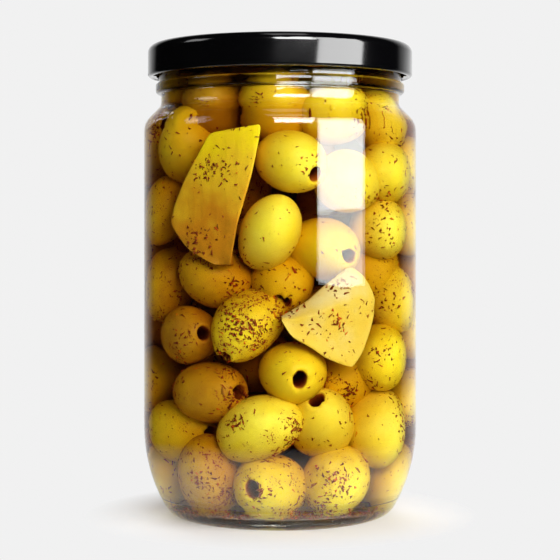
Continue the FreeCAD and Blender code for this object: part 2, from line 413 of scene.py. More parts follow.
def steeped_garlic(name, body, edge):
    """Peeled garlic steeped in oil: dense and smooth, faintly ribbed, browner at its rims and inner side,
    and the cut clove browner towards its lower end.
    """
    tints = colours()
    material, tree = blank_material(name)
    place = add(tree, "TexCoord").outputs["Object"]
    brown_share, ribs = [add(tree, "Attribute", attribute_name=key).outputs["Fac"] for key in ("edge", "rib")]
    cloud = add(tree, "TexNoise", {"Vector": place, "Scale": 1 / (9 * MM), "Detail": 3.0})
    shift = add(tree, "Math", {0: cloud, 1: 0.5}, operation="SUBTRACT")
    amount = add(tree, "Math", {0: brown_share, 1: shift}, operation="ADD")
    stops = ((0.0, body[0]), (0.4, body[1]), (0.8, edge), (1.0, tints.brown_and_shaded_olive))
    colour = add(tree, "ValToRGB", {0: amount}, stops)
    specks = add(tree, "TexNoise", {"Vector": place, "Scale": 1 / (0.65 * MM), "Detail": 2.0})
    speck = add(tree, "MapRange", {0: specks, 1: 0.70, 2: 0.74})
    flesh = {
        "Base Color": add(tree, "Mix", {0: speck, 6: colour, 7: linear(tints.herb_mid)}, data_type="RGBA"),
        "Roughness": 0.4,
        "IOR": 1.2,
        "Subsurface Weight": 0.15,
        "Subsurface Radius": (1.0, 0.7, 0.3),
        "Subsurface Scale": 3.0 * MM,
        "Normal": add(tree, "Bump", {"Height": ribs, "Strength": 0.1, "Distance": 0.3 * MM}),
    }
    add(tree, "OutputMaterial", {"Surface": add(tree, "BsdfPrincipled", flesh)})
    return material


def dried_herb(name, stops):
    """Dried, crumbled leaf and stalk, softened by oil: dull, and no two flakes the same brown."""
    material, tree = blank_material(name)
    tone = add(tree, "Attribute", attribute_name="tone").outputs["Fac"]
    place = add(tree, "TexCoord").outputs["Object"]
    grain = add(tree, "TexNoise", {"Vector": place, "Scale": 1 / (0.4 * MM)})
    shift = add(tree, "Math", {0: grain, 1: 0.5}, operation="SUBTRACT")
    shade = add(tree, "Math", {0: tone, 1: shift}, operation="ADD")
    leaf = {"Base Color": add(tree, "ValToRGB", {0: shade}, stops), "Roughness": 0.75, "IOR": 1.2}
    add(tree, "OutputMaterial", {"Surface": add(tree, "BsdfPrincipled", leaf)})
    return material


def baked_enamel():
    """Gloss black enamel baked on tinplate: deep black under a hard clear gloss, with a slight orange-peel
    ripple, about 3 mm across, that only shows in the reflections."""
    material, tree = blank_material("baked enamel")
    place = add(tree, "TexCoord").outputs["Object"]
    peel = add(tree, "TexNoise", {"Vector": place, "Scale": 1 / (3 * MM), "Detail": 1.0})
    cloud = add(tree, "TexNoise", {"Vector": place, "Scale": 1 / (16 * MM), "Detail": 3.0})
    body = {
        "Base Color": linear(colours().enamel),
        "Roughness": add(tree, "MapRange", {0: cloud, 3: 0.1, 4: 0.14}),
        "IOR": 1.6,
        "Coat Weight": 0.6,
        "Coat Roughness": 0.1,
        "Normal": add(tree, "Bump", {"Height": peel, "Strength": 0.05, "Distance": 0.1 * MM}),
    }
    add(tree, "OutputMaterial", {"Surface": add(tree, "BsdfPrincipled", body)})
    return material


def sealing_compound():
    """Flowed-in plastisol sealing compound: a soft, slightly uneven cream rubber."""
    tints = colours()
    material, tree = blank_material("sealing compound")
    place = add(tree, "TexCoord").outputs["Object"]
    flow = add(tree, "TexNoise", {"Vector": place, "Scale": 1 / (4 * MM), "Detail": 2.0})
    shades = {0: flow, 6: linear(tints.sealing), 7: linear(tints.sealing_shade)}
    body = {
        "Base Color": add(tree, "Mix", shades, data_type="RGBA"),
        "Roughness": 0.55,
        "Normal": add(tree, "Bump", {"Height": flow, "Strength": 0.2, "Distance": 0.2 * MM}),
    }
    add(tree, "OutputMaterial", {"Surface": add(tree, "BsdfPrincipled", body)})
    return material


# ---- the inside of the jar


def rounded(corners):
    """(radius, height) points along an outline, with each corner rounded by the radius given with it."""
    points = [corners[0][:2]]
    for before, here, after in zip(corners, corners[1:], corners[2:]):
        corner = Vector(here[:2])
        back = (Vector(before[:2]) - corner).normalized()
        ahead = (Vector(after[:2]) - corner).normalized()
        half = back.angle(ahead) / 2
        start = corner + back * here[2] / math.tan(half)
        middle = corner + (back + ahead).normalized() * here[2] / math.sin(half)
        sweep = math.pi - 2 * half
        turn = 1 if back.x * ahead.y - back.y * ahead.x > 0 else -1
        for i in range(CORNER_STEPS + 1):
            spoke = Matrix.Rotation(-turn * sweep * i / CORNER_STEPS, 2) @ (start - middle)
            points.append(tuple(middle + spoke))
    points.append(corners[-1][:2])
    return points


def inside_outline():
    """The inside of the glass, from the middle of the floor up to the oil's level."""
    size = sizes()
    return rounded(
        [
            (0.0, FLOOR_TOP, 0.0),
            (size.floor_radius, FLOOR_TOP, size.floor_corner),
            (BODY_INSIDE, size.heel_height, size.heel_corner),
            (BODY_INSIDE, size.shoulder_height, size.shoulder_corner),
            (size.bore_radius, size.neck_height, size.neck_corner),
            (size.bore_radius, OIL_LEVEL, 0.0),
        ]
    )


def inside_radius(height):
    """Inside radius of the glass at a height."""
    outline = np.array(inside_outline()[1:])
    return float(np.interp(height, outline[:, 1], outline[:, 0]))


def room_for(height, radius, depth):
    """How far out from the axis a rounded thing of a radius, and of a depth towards the glass, can lie."""
    angles = [math.radians(a) for a in range(-75, 76, 15)]
    return min(inside_radius(height + radius * math.sin(a)) - depth * math.cos(a) for a in angles)


def outward(bearing):
    """Unit vectors at a bearing, in degrees to the right of the front: out to the glass, and along it."""
    angle = math.radians(bearing)
    return (
        np.array([math.sin(angle), -math.cos(angle), 0.0]),
        np.array([math.cos(angle), math.sin(angle), 0.0]),
    )


# ---- olives

# Olives at the glass, placed one by one. Each row: bearing and height of the middle, how far it lies
# behind the glass, which way its stoned end points (clockwise from up) and how far that end turns
# out to the glass, width, length, tone from pale to brown, and dustiness.
# The tone column is partly each olive's own colour and partly painted shade: olives to the left, away from
# the key light, and those set deeper behind the glass are browner.
GLASS_OLIVES = (
    (-46, 127, 0.5, 190, -20, 19.0, 24.0, 0.90, 0.5),
    (-3, 127, 0.5, 170, -30, 20.0, 24.0, 0.62, 0.6),
    (34, 126, 0.5, 60, -20, 19.5, 24.0, 0.30, 0.7),
    (72, 124, 0.5, 20, -30, 19.0, 23.0, 0.25, 1.0),
    (-57, 114, 0.5, 200, -40, 19.0, 22.5, 0.62, 0.4),
    (-75, 96, 0.6, 15, -20, 18.0, 23.0, 0.70, 0.8),
    (6, 109.5, 0.0, 119, 47, 18.5, 22.5, 0.24, 0.4),
    (38, 104.5, 1.0, 100, -30, 19.0, 23.0, 0.20, 0.5),
    (-5, 89, 0.0, 201, -25, 17.5, 25.0, 0.18, 0.4),
    (66, 107, 0.5, 95, -30, 19.0, 23.5, 0.22, 0.6),
    (62, 90.5, 0.3, 40, -40, 18.5, 20.5, 0.12, 0.8),
    (68, 78, 7.0, 30, -20, 18.0, 22.0, 0.45, 0.8),
    (25, 84.5, 2.0, 118, 63, 19.0, 23.0, 0.35, 0.3),
    (-74, 73, 0.5, 5, -25, 19.0, 24.0, 0.80, 1.2),
    (-38, 75.5, 3.0, 120, -35, 18.5, 23.0, 0.75, 1.3),
    (1, 74, 7.0, 180, 55, 18.0, 21.0, 0.55, 0.8),
    (-52, 58, 0.3, 84, 20, 17.5, 21.5, 0.95, 0.9),
    (-16, 61.5, 0.0, 214, 24, 19.0, 25.0, 0.40, 2.6),
    (74, 68.5, 0.5, 350, -25, 18.5, 22.0, 0.25, 1.0),
    (61, 51, 0.3, 30, -35, 19.0, 22.0, 0.35, 0.9),
    (7, 47.5, 0.0, 150, 80, 18.8, 22.0, 0.50, 0.2),
    (-39, 41, 1.0, 86, 6, 18.0, 24.0, 0.92, 1.1),
    (-92, 43, 1.0, 10, -20, 18.0, 22.0, 0.50, 0.5),
    (46, 45, 9.0, 60, -20, 18.0, 23.0, 0.55, 0.6),
    (-10, 30.5, 0.0, 245, -12, 18.5, 26.0, 0.18, 1.3),
    (24, 32.5, 3.0, 331, 40, 18.5, 23.0, 0.12, 0.4),
    (61, 30, 0.5, 12, -25, 20.0, 24.5, 0.08, 0.5),
    (-64, 29, 2.0, 92, -20, 17.5, 24.0, 0.48, 0.8),
    (-84, 15, 0.3, 40, -20, 18.0, 22.0, 0.40, 0.6),
    (-42, 16.5, 0.5, 188, -14, 19.0, 24.5, 0.8, 2.0),
    (-6, 14.2, 0.0, 265, 66, 19.5, 22.5, 0.36, 1.2),
    (33, 15.5, 0.0, 35, -35, 20.0, 22.0, 0.32, 1.6),
    (80, 15, 0.3, 15, -25, 18.5, 22.0, 0.20, 0.5),
    (94, 110, 0.5, 80, -30, 18.5, 23.0, 0.15, 0.8),
    (92, 92, 0.5, 15, -25, 18.0, 22.0, 0.15, 0.8),
    (96, 60, 0.5, 5, -25, 18.0, 23.0, 0.15, 0.8),
    (94, 37, 0.5, 70, -20, 18.0, 23.0, 0.12, 0.8),
)

# Where crumbs have gathered: bearing, height, spread, and how many flakes
CRUMB_PATCHES = (
    (-19.5, 63, 3.4, 110), (-24, 53, 2.0, 25), (-19, 32.5, 2.0, 55), (-37, 87, 4.0, 50), (-22, 107, 2.6, 26),
    (25, 62, 3.6, 45), (52, 90, 4.5, 35), (54, 98, 3.0, 40), (50, 53, 4.5, 40), (-22, 72, 2.4, 45),
    (8, 67, 2.2, 35), (-20, 41, 2.6, 45), (-36, 15, 3.4, 65), (24, 16, 4.5, 55), (-7, 11, 3.6, 45),
    (46, 122, 4.0, 45), (57, 68, 4.0, 45), (38, 41, 2.4, 45), (-12, 127, 2.4, 20), (-55, 45, 4.0, 35),
    (66, 30, 5.0, 40), (5, 24, 3.0, 30), (-48, 58, 3.0, 20),
)

# Where the cloves lie, as balls that the loose olives keep clear of: bearing, height, inset, radius
CLOVE_ROOM = ((-19, 112, 8, 8), (-28, 101, 8, 9), (-32, 90, 8, 9), (24, 66, 8, 9), (31, 58, 8, 8))

# The loose olives start in rows, each with a ring near the glass and a few round the middle, whose
# reach from the axis is in millimetres
ROWS = 8
RING_OLIVES = 9
MIDDLE_OLIVES = 3
MIDDLE_REACH = 11
SETTLING_ROUNDS = 120

# How torn the mouth of an olive can be
TORN = (0.1, 0.5, 1.0)


def olive_blank():
    """A stoned olive, upright, with the hole at its top, as arrays of points, faces and hole share."""
    size = sizes()
    half = size.olive_length / 2
    deselect()
    bpy.ops.mesh.primitive_uv_sphere_add(segments=36, ring_count=24, radius=size.olive_width / 2)
    piece = bpy.context.object
    edit()
    bpy.ops.transform.resize(value=(1, 1, size.olive_length / size.olive_width))
    mouth = half * math.cos(math.radians(18.5))
    pick(lambda place: place.z > mouth)
    bpy.ops.mesh.delete(type="VERT")
    loop = half * math.cos(math.radians(24))
    pick(lambda place: place.z > loop)
    wide = size.olive_width / 2 * math.sin(math.radians(22.5))
    lip = size.pit_radius / wide
    crest = (1 + 2 * lip) / 3
    brink = (1 + 5 * lip) / 6
    rings = (
        (0.10 * MM, crest),
        (-0.15 * MM, brink / crest),
        (-0.55 * MM, lip * 0.96 / brink),
        (-1.2 * MM, 0.97),
        (-size.pit_depth * 0.4, 1.0),
        (-size.pit_depth * 0.4, 0.9),
        (-size.pit_depth * 0.2, 0.55),
    )
    for rise, scale in rings:
        draw_out(rise, scale)
    bpy.ops.mesh.merge(type="CENTER")
    pick(lambda place: place.z < -half * 0.999)
    bpy.ops.transform.translate(value=(0, 0, -0.5 * MM))
    bpy.ops.mesh.select_all(action="SELECT")
    bpy.ops.mesh.normals_make_consistent(inside=False)
    bpy.ops.object.mode_set(mode="OBJECT")
    points, faces = arrays_of(piece)
    across = np.hypot(points[:, 0], points[:, 1])
    inside = np.clip((size.pit_radius * 1.5 - across) / (size.pit_radius * 0.55), 0, 1)
    depth = np.clip((half - points[:, 2]) / (size.pit_depth * 0.7), 0, 1)
    above = points[:, 2] > half - size.pit_depth - 3.5 * MM
    sunk = (across < size.pit_radius * 1.02) & above
    # Inside the hole the share grows with depth, so the hole darkens inward: painted shade in the recess.
    # Round the mouth it marks the torn flesh.
    hole = np.where(sunk, 0.45 + 0.55 * depth, inside * 0.36 * (points[:, 2] > 0))
    return points, faces, hole


def shaped_olive(blank, width, length, rng, ragged):
    """The blank at a width and length, made a little bent, flat, dented and torn at its mouth."""
    size = sizes()
    points = blank * [width / size.olive_width, width / size.olive_width, length / size.olive_length]
    x, y, z = points.T
    along = z / (length / 2)
    taper = 1 - rng.uniform(0.02, 0.09) * np.maximum(-along, 0) ** 2 - rng.uniform(0.0, 0.05) * along
    bend = rng.uniform(-0.9, 0.9) * MM * (1 - along**2)
    flat = rng.uniform(0.94, 1.03)
    around = np.arctan2(y, x)
    lumps = 1 + 0.018 * np.sin(3 * around + rng.uniform(0, 6) + 1.5 * along)
    lumps += 0.014 * np.sin(2 * around - 3 * along + rng.uniform(0, 6))
    shaped = np.stack([x * taper * lumps + bend, y * taper * flat * lumps, z], axis=1)
    near_mouth = np.exp(-(((np.hypot(x, y) - size.pit_radius * 1.15) / (0.9 * MM)) ** 2)) * (z > 0)
    tear = ragged * (np.sin(4 * around + rng.uniform(0, 6)) + 0.6 * np.sin(7 * around + rng.uniform(0, 6)))
    shaped[:, 2] += near_mouth * tear * 0.5 * MM
    pinch = 1 + near_mouth * ragged * 0.25 * np.sin(2 * around + rng.uniform(0, 6))
    shaped[:, :2] *= pinch[:, None]
    return shaped


def placed(points, way, middle, roll):
    """Points turned so that +Z runs along a direction, rolled about it and moved to a place."""
    turn = Vector(way).to_track_quat("Z", "Y").to_matrix() @ Matrix.Rotation(roll, 3, "Z")
    return points @ np.array(turn).T + middle


def loose_olives(rng, taken):
    """Middles of the olives round the back and in the middle of the jar, pushed clear of each other."""
    size = sizes()
    radius = (size.olive_width + size.olive_length) / 4
    places = []
    lowest, highest = FLOOR_TOP + radius, OIL_LEVEL - radius * 0.9
    for row, height in enumerate(np.linspace(lowest, highest, ROWS)):
        reach = inside_radius(height) - radius
        for i in range(RING_OLIVES):
            out, _ = outward(360 * (i + row / 2) / RING_OLIVES)
            places.append(out * reach + [0, 0, height])
        for i in range(MIDDLE_OLIVES):
            out, _ = outward(360 / MIDDLE_OLIVES * (i + row / 2))
            places.append(out * MIDDLE_REACH * MM + [0, 0, height])
    fixed = np.array([place for place, _ in taken])
    limits = np.array([reach for _, reach in taken])
    places = np.array(places)
    gaps = np.linalg.norm(places[:, None] - fixed[None], axis=2) - limits[None]
    places = places[gaps.min(axis=1) > radius * 0.45]
    places += np.array([[rng.uniform(-1, 1) for _ in range(3)] for _ in places]) * MM
    for _ in range(SETTLING_ROUNDS):
        push = np.zeros_like(places)
        for others, reaches, share in ((fixed, limits, 1.0), (places, np.full(len(places), radius), 0.5)):
            apart = places[:, None] - others[None]
            far = np.linalg.norm(apart, axis=2) + 1e-9
            lap = np.clip(radius * 0.97 + reaches[None] - far, 0, None)
            lap[far < 1e-6] = 0
            push += (apart / far[..., None] * lap[..., None]).sum(axis=1) * share
        places += push * 0.5
        places[:, 2] = np.clip(places[:, 2], lowest, highest)
        across = np.hypot(places[:, 0], places[:, 1])
        limit = np.array([room_for(z, radius, radius) for z in places[:, 2]]) - 0.3 * MM
        places[:, :2] *= np.minimum(1, limit / np.maximum(across, 1e-6))[:, None]
    return places


def make_olives():
    """All the olives: those at the glass as listed, the others by letting them settle."""
    size = sizes()
    rng = random.Random(size.seed)
    blank, faces, hole = olive_blank()
    count = len(blank)
    shelf = {"front": [], "rest": []}
    taken = []
    for bearing, height, inset, lean, facing, width, length, tone, dust in GLASS_OLIVES:
        width, length, inset = width * MM, length * MM, inset * MM
        out, along = outward(bearing)
        tilt, turn = math.radians(facing), math.radians(lean)
        way = math.cos(tilt) * (math.sin(turn) * along + math.cos(turn) * np.array([0, 0, 1.0]))
        way = way + math.sin(tilt) * out
        stretch = width / 2 + (length - width) / 2 * abs(math.sin(tilt)) ** 2
        reach = room_for(height * MM, width / 2, stretch) - 0.4 * MM - inset
        middle = out * reach + [0, 0, height * MM]
        points = shaped_olive(blank, width, length, rng, rng.choice(TORN))
        points = placed(points, way, middle, rng.uniform(0, 6.28))
        shelf["front"].append((points, tone, dust, out))
        taken.append((middle, (width + length) / 4))
    for bearing, height, inset, radius in CLOVE_ROOM:
        out, _ = outward(bearing)
        middle = out * (BODY_INSIDE - inset * MM) + [0, 0, height * MM]
        taken.append((middle, radius * MM))
    for place in loose_olives(rng, taken):
        width = rng.uniform(17.5, 20.0) * MM
        length = width * rng.uniform(1.15, 1.32)
        way = np.array([rng.gauss(0, 1) for _ in range(3)])
        points = shaped_olive(blank, width, length, rng, rng.choice(TORN))
        points = placed(points, way, place, rng.uniform(0, 6.28))
        out = place * [1, 1, 0]
        # The random part is the olive's own tone; the extra brown for the left half of the jar is painted
        # shade, away from the key light.
        tone = rng.uniform(0.0, 0.4) + (0.1 if place[0] > 0 else 0.45)
        shelf["rest"].append((points, tone, rng.uniform(0.5, 1.7), out))
    made = []
    for kind, rows in shelf.items():
        attributes = {
            "tone": [np.full(count, row[1]) for row in rows],
            "pit": [hole for _ in rows],
            "dust": [np.full(count, row[2]) for row in rows],
        }
        made.append(joined("olives_" + kind, [row[0] for row in rows], faces, attributes))
    herb_beds = [(points, dust, out) for rows in shelf.values() for points, _, dust, out in rows]
    return made, herb_beds, faces


# ---- garlic

# Each clove's edges along its length, in millimetres from its middle: (along, lower edge, upper edge)
CUT_CLOVE = (
    (-20.5, 1.0, 5.5), (-16, -8, 6.5), (-8, -15.5, 8.0), (-2, -13.5, 9.8), (6, -9.5, 12.0), (14, -4.5, 13.6),
    (20, -1, 14.6),
)
WHOLE_CLOVE = (
    (-17.0, 0.2, 1.6), (-14.5, -4.6, 3.0), (-9, -8.0, 6.4), (-4.9, -11.2, 10.2), (0, -13.4, 14.0),
    (3.5, -14.6, 16.8), (7.2, -9.4, 13.6), (10.1, -1.6, 8.5), (11.2, 2.0, 6.0),
)

# Radius, in millimetres, at which a clove's lengths round the jar are measured
CLOVE_CURVE = 37.0


def clove_piece(name, stations, bearing, height, thickness, upright, slant, facet, rounding):
    """A clove against the glass: a block with rounded edges, drawn out between the edges given."""
    deselect()
    bpy.ops.mesh.primitive_cube_add(size=2.0)
    edit()
    bpy.ops.mesh.subdivide(number_cuts=27)
    bpy.ops.object.mode_set(mode="OBJECT")
    block, faces = arrays_of(bpy.context.object)
    kept = np.clip(block, rounding - 1, 1 - rounding)
    off = block - kept
    block = kept + rounding * off / np.linalg.norm(off, axis=1)[:, None]
    side, depth, end = block.T
    stops = np.array(stations, float)
    low, high = stops[0, 0], stops[-1, 0]
    along = low + (end + 1) / 2 * (high - low)
    lower = np.interp(along, stops[:, 0], stops[:, 1])
    upper = np.interp(along, stops[:, 0], stops[:, 2])
    across = (lower + upper) / 2 + side * (upper - lower) / 2 * (1 - 0.16 * (1 + depth))
    share = (along - low) / (high - low)
    along = along + slant * (across - 8) * share**3
    thick = thickness * (0.6 + 0.4 * np.sin(np.pi * np.clip(share, 0.1, 0.9)))
    front = 1.3 - 0.7 * side**2 + 0.4 * np.sin(4 * share + 2 * side)
    front += facet * np.clip((side - 0.35) / 0.65, 0, 1) * np.clip((0.92 - share) / 0.3, 0, 1)
    inward = front + thick * (1 + depth) / 2 * (1 - 0.12 * side**2)
    rib = np.sin(across * 1.7 + 0.9 * np.sin(along * 0.25)) + 0.4 * np.sin(across * 4.1 + 1.3)
    # How much browner the garlic is: the cut clove more towards its lower end, the whole clove less on its
    # facet, both more at their rims and on their inner side.
    pale = np.clip((side - 0.3) / 0.4, 0, 1) * np.clip((0.92 - share) / 0.3, 0, 1)
    edge = (1 - share) ** 0.9 if upright else 0.42 - 0.42 * pale
    edge = edge + 0.1 * np.abs(side) ** 8 + 0.2 * (1 + depth) / 2
    around, up = (across, along) if upright else (along, across)
    radius = BODY_INSIDE / MM - 0.5 - inward
    angle = math.radians(bearing) + around / CLOVE_CURVE
    clove = np.stack([radius * np.sin(angle), -radius * np.cos(angle), height + up], axis=1) * MM
    piece = joined(name, [clove], faces, {"edge": [edge], "rib": [rib]})
    bpy.context.view_layer.objects.active = piece
    smooth = piece.modifiers.new("Smooth", "SMOOTH")
    smooth.iterations = 4
    bpy.ops.object.modifier_apply(modifier=smooth.name)
    deselect()
    piece.select_set(True)
    edit()
    bpy.ops.mesh.normals_make_consistent(inside=False)
    bpy.ops.object.mode_set(mode="OBJECT")
    return piece


# ---- herbs

# Share of the flakes that is chilli
CHILLI_ON_OLIVES = 0.07
CHILLI_IN_PATCHES = 0.12
CHILLI_ON_FLOOR = 0.55

# Bunches of flakes on a clove
CLOVE_BUNCHES = 3


def flake_blank():
    """A crumb of dried leaf one long: a thin plate with a torn, tapering outline and a slight curl."""
    deselect()
    bpy.ops.mesh.primitive_cube_add(size=1.0)
    piece = bpy.context.object
    edit()
    bpy.ops.transform.resize(value=(1.0, 0.42, 0.1))
    pick(lambda place: place.x > 0.4)
    bpy.ops.transform.resize(value=(1.0, 0.35, 0.7))
    bpy.ops.transform.translate(value=(0.0, 0.08, 0.08))
    pick(lambda place: place.x < -0.4 and place.y > 0)
    bpy.ops.transform.translate(value=(0.22, 0.05, 0.0))
    bpy.ops.object.mode_set(mode="OBJECT")
    return arrays_of(piece)


def surface_spots(points, faces, out, number_of, rng, clumps):
    """Places and normals on a piece, bunched round a few spots on the side that faces the glass."""
    quads = np.array([face for face in faces if len(face) == 4])
    corners = points[quads]
    middles = corners.mean(axis=1)
    normals = np.cross(corners[:, 2] - corners[:, 0], corners[:, 3] - corners[:, 1])
    areas = np.linalg.norm(normals, axis=1) + 1e-12
    normals /= areas[:, None]
    centre = points.mean(axis=0)
    way = out / (np.linalg.norm(out) + 1e-9)
    seen = np.clip(normals @ way + 0.35, 0.0, 1.0) * (np.linalg.norm(middles - centre, axis=1) > 7 * MM)
    weight = areas * seen * 0.5
    for _ in range(clumps):
        spot = middles[rng.randrange(len(middles))]
        near = np.exp(-(np.linalg.norm(middles - spot, axis=1) ** 2) / (2 * (2.4 * MM) ** 2))
        weight += areas * seen * near * rng.uniform(6.0, 20.0)
    heap = np.cumsum(weight)
    picks = [int(np.searchsorted(heap, rng.random() * heap[-1])) for _ in range(number_of)]
    spots = []
    for index in picks:
        a, b, c, d = corners[min(index, len(corners) - 1)]
        u, v = rng.random(), rng.random()
        place = (a * (1 - u) + b * u) * (1 - v) + (d * (1 - u) + c * u) * v
        spots.append((place, normals[min(index, len(corners) - 1)]))
    return spots


def flake_on(blank, spot, normal, rng, length):
    """A flake lying on a surface, turned at random, and just proud of it."""
    size = sizes()
    if rng.random() < 0.4:
        slim = rng.uniform(0.45, 0.9)
    else:
        slim = rng.uniform(1.2, 2.0)
        length = min(length, 1.8 * MM) * 0.6
    points = blank * [length, length * slim, size.flake_thickness * 10]
    tilt = np.array([rng.gauss(0, 0.12) for _ in range(3)])
    return placed(points, normal + tilt, spot + normal * size.flake_thickness * 0.5, rng.uniform(0, 6.28))


def clove_bed(piece, amount):
    """A clove's points, faces, outward way, number of flakes and number of bunches."""
    data = piece.data
    points = np.empty(len(data.vertices) * 3)
    data.vertices.foreach_get("co", points)
    points = points.reshape(-1, 3)
    faces = [tuple(face.vertices) for face in data.polygons]
    return points, faces, points.mean(axis=0) * [1, 1, 0], amount, CLOVE_BUNCHES


def shown_faces(jobs):
    """Middles and normals of all faces, their bearings, and how well each one shows through the glass."""
    middles, normals = [], []
    for points, faces, _, _, _ in jobs:
        quads = points[np.array([face for face in faces if len(face) == 4])]
        across = np.cross(quads[:, 2] - quads[:, 0], quads[:, 3] - quads[:, 1])
        middles.append(quads.mean(axis=1))
        normals.append(across / (np.linalg.norm(across, axis=1)[:, None] + 1e-12))
    middles, normals = np.concatenate(middles), np.concatenate(normals)
    bearings = np.degrees(np.arctan2(middles[:, 0], -middles[:, 1]))
    reaches = np.hypot(middles[:, 0], middles[:, 1])
    facing = (normals[:, :2] * middles[:, :2]).sum(axis=1) / reaches
    shown = np.clip(facing - 0.1, 0, 1) * np.clip((reaches - 26 * MM) / (8 * MM), 0, 1)
    return middles, normals, bearings, shown


def make_herbs(beds, faces, cloves):
    """Herb and chilli flakes on every olive and clove, in the crumb patches and on the jar's floor."""
    size = sizes()
    rng = random.Random(size.seed + 1)
    blank, flake_faces = flake_blank()
    heaps = {"herb_flakes": ([], []), "chilli_flakes": ([], [])}

    def keep(flake, is_chilli, tone):
        flakes, tones = heaps["chilli_flakes" if is_chilli else "herb_flakes"]
        flakes.append(flake)
        tones.append(np.full(len(blank), tone))

    usual = size.herbs_per_olive
    jobs = [(points, faces, out, int(usual * dust), 1 + int(2 * dust)) for points, dust, out in beds]
    jobs += [clove_bed(piece, amount) for piece, amount in cloves]
    for points, own_faces, out, amount, clumps in jobs:
        for spot, normal in surface_spots(points, own_faces, out, amount, rng, clumps):
            length = size.flake_length * min(rng.lognormvariate(-0.35, 0.45), 2.0)
            is_chilli = rng.random() < CHILLI_ON_OLIVES
            flake = flake_on(blank, spot, normal, rng, length * (1.1 if is_chilli else 1.0))
            keep(flake, is_chilli, rng.random())
    middles, normals, bearings, shown = shown_faces(jobs)
    for bearing, height, spreading, amount in CRUMB_PATCHES:
        aside = np.hypot((bearings - bearing) * 0.66, middles[:, 2] / MM - height)
        heap = np.cumsum(shown * np.exp(-((aside / spreading) ** 2)))
        for _ in range(amount):
            index = min(int(np.searchsorted(heap, rng.random() * heap[-1])), len(middles) - 1)
            shake = np.array([rng.uniform(-0.4, 0.4) for _ in range(3)]) * MM
            length = size.flake_length * rng.uniform(0.5, 1.5)
            is_chilli = rng.random() < CHILLI_IN_PATCHES
            flake = flake_on(blank, middles[index] + shake, normals[index], rng, length)
            keep(flake, is_chilli, rng.random() * 0.6)
    for _ in range(size.herbs_on_floor):
        out, _ = outward(rng.uniform(0, 360))
        reach = 33.5 * math.sqrt(rng.random())
        spot = out * reach * MM + [0, 0, FLOOR_TOP + rng.uniform(0.1, 1.0 + reach * 0.05) * MM]
        normal = np.array([rng.gauss(0, 0.5), rng.gauss(0, 0.5), 1.0])
        flake = flake_on(blank, spot, normal, rng, size.flake_length * rng.uniform(0.5, 1.5))
        keep(flake, rng.random() < CHILLI_ON_FLOOR, rng.random())
    return [joined(name, flakes, flake_faces, {"tone": tones}) for name, (flakes, tones) in heaps.items()]


# ---- oil


def oil_outline():
    """The oil, from the middle of the floor up to its level: the inside of the glass, and a little more."""
    reach = sizes().oil_reach
    inside = inside_outline()
    end = 1 + CORNER_STEPS + 1
    floor = [(radius + reach * (radius > 0), height - reach) for radius, height in inside[:end]]
    wall = [(radius + reach, height) for radius, height in inside[end:-1]]
    level = [(inside[-1][0] + reach, OIL_LEVEL), (0.0, OIL_LEVEL)]
    return floor + wall + level


# ---- operators

made_pieces = {}


class OLIVEJAR_OT_glass(bpy.types.Operator):
    """Finishes the glass jar"""

    bl_idname = "olivejar.glass"
    bl_label = "Glass"

    def execute(self, context):
        settle(smoothed_copy("glass_jar", "glass_body"), container_glass())
        return {"FINISHED"}


class OLIVEJAR_OT_lid(bpy.types.Operator):
    """Finishes the lid and its sealing ring"""

    bl_idname = "olivejar.lid"
    bl_label = "Lid and seal"

    def execute(self, context):
        settle(smoothed_copy("lid", "lid_cap"), baked_enamel())
        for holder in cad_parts["lid_seal"].material_slots:
            holder.material = sealing_compound()
        return {"FINISHED"}


class OLIVEJAR_OT_olives(bpy.types.Operator):
    """Packs the jar with stoned olives"""

    bl_idname = "olivejar.olives"
    bl_label = "Olives"

    def execute(self, context):
        pieces, beds, faces = make_olives()
        skin = brined_olive()
        for piece in pieces:
            settle(piece, skin)
            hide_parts("olive_heap")
        made_pieces["beds"] = beds
        made_pieces["faces"] = faces
        return {"FINISHED"}


class OLIVEJAR_OT_garlic(bpy.types.Operator):
    """Adds the two garlic cloves at the glass"""

    bl_idname = "olivejar.garlic"
    bl_label = "Garlic"

    def execute(self, context):
        tints = colours()
        cut = clove_piece("garlic_cut", CUT_CLOVE, -30, 100, 11.0, True, 0.16, 0.0, 0.10)
        whole = clove_piece("garlic_whole", WHOLE_CLOVE, 27, 63, 10.0, False, 0.0, 4.0, 0.16)
        gold = (tints.garlic_bright, tints.garlic_gold)
        cream = (tints.garlic_cream, tints.steeped)
        settle(cut, steeped_garlic("golden garlic", gold, tints.garlic_brown))
        settle(whole, steeped_garlic("cream garlic", cream, tints.golden_olive))
        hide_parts("garlic_clove_cut")
        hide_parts("garlic_clove_whole")
        made_pieces["cloves"] = [(cut, 110), (whole, 60)]
        return {"FINISHED"}


class OLIVEJAR_OT_herbs(bpy.types.Operator):
    """Dusts the olives and garlic with herb and chilli flakes"""

    bl_idname = "olivejar.herbs"
    bl_label = "Herbs"

    def execute(self, context):
        tints = colours()
        herb, chilli = make_herbs(made_pieces["beds"], made_pieces["faces"], made_pieces["cloves"])
        browns = [(0.0, tints.herb_dark), (0.6, tints.herb_mid), (1.0, tints.herb_light)]
        reds = [(0.0, tints.herb_mid), (0.5, tints.chilli), (1.0, tints.golden_olive)]
        settle(herb, dried_herb("dried herb", browns))
        settle(chilli, dried_herb("dried chilli", reds))
        return {"FINISHED"}


class OLIVEJAR_OT_oil(bpy.types.Operator):
    """Fills the jar with oil, just into the glass"""

    bl_idname = "olivejar.oil"
    bl_label = "Oil"

    def execute(self, context):
        oil = turned("herbed_oil", oil_outline(), 128)
        settle(oil, herbed_oil())
        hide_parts("oil")
        return {"FINISHED"}


# ---- stage


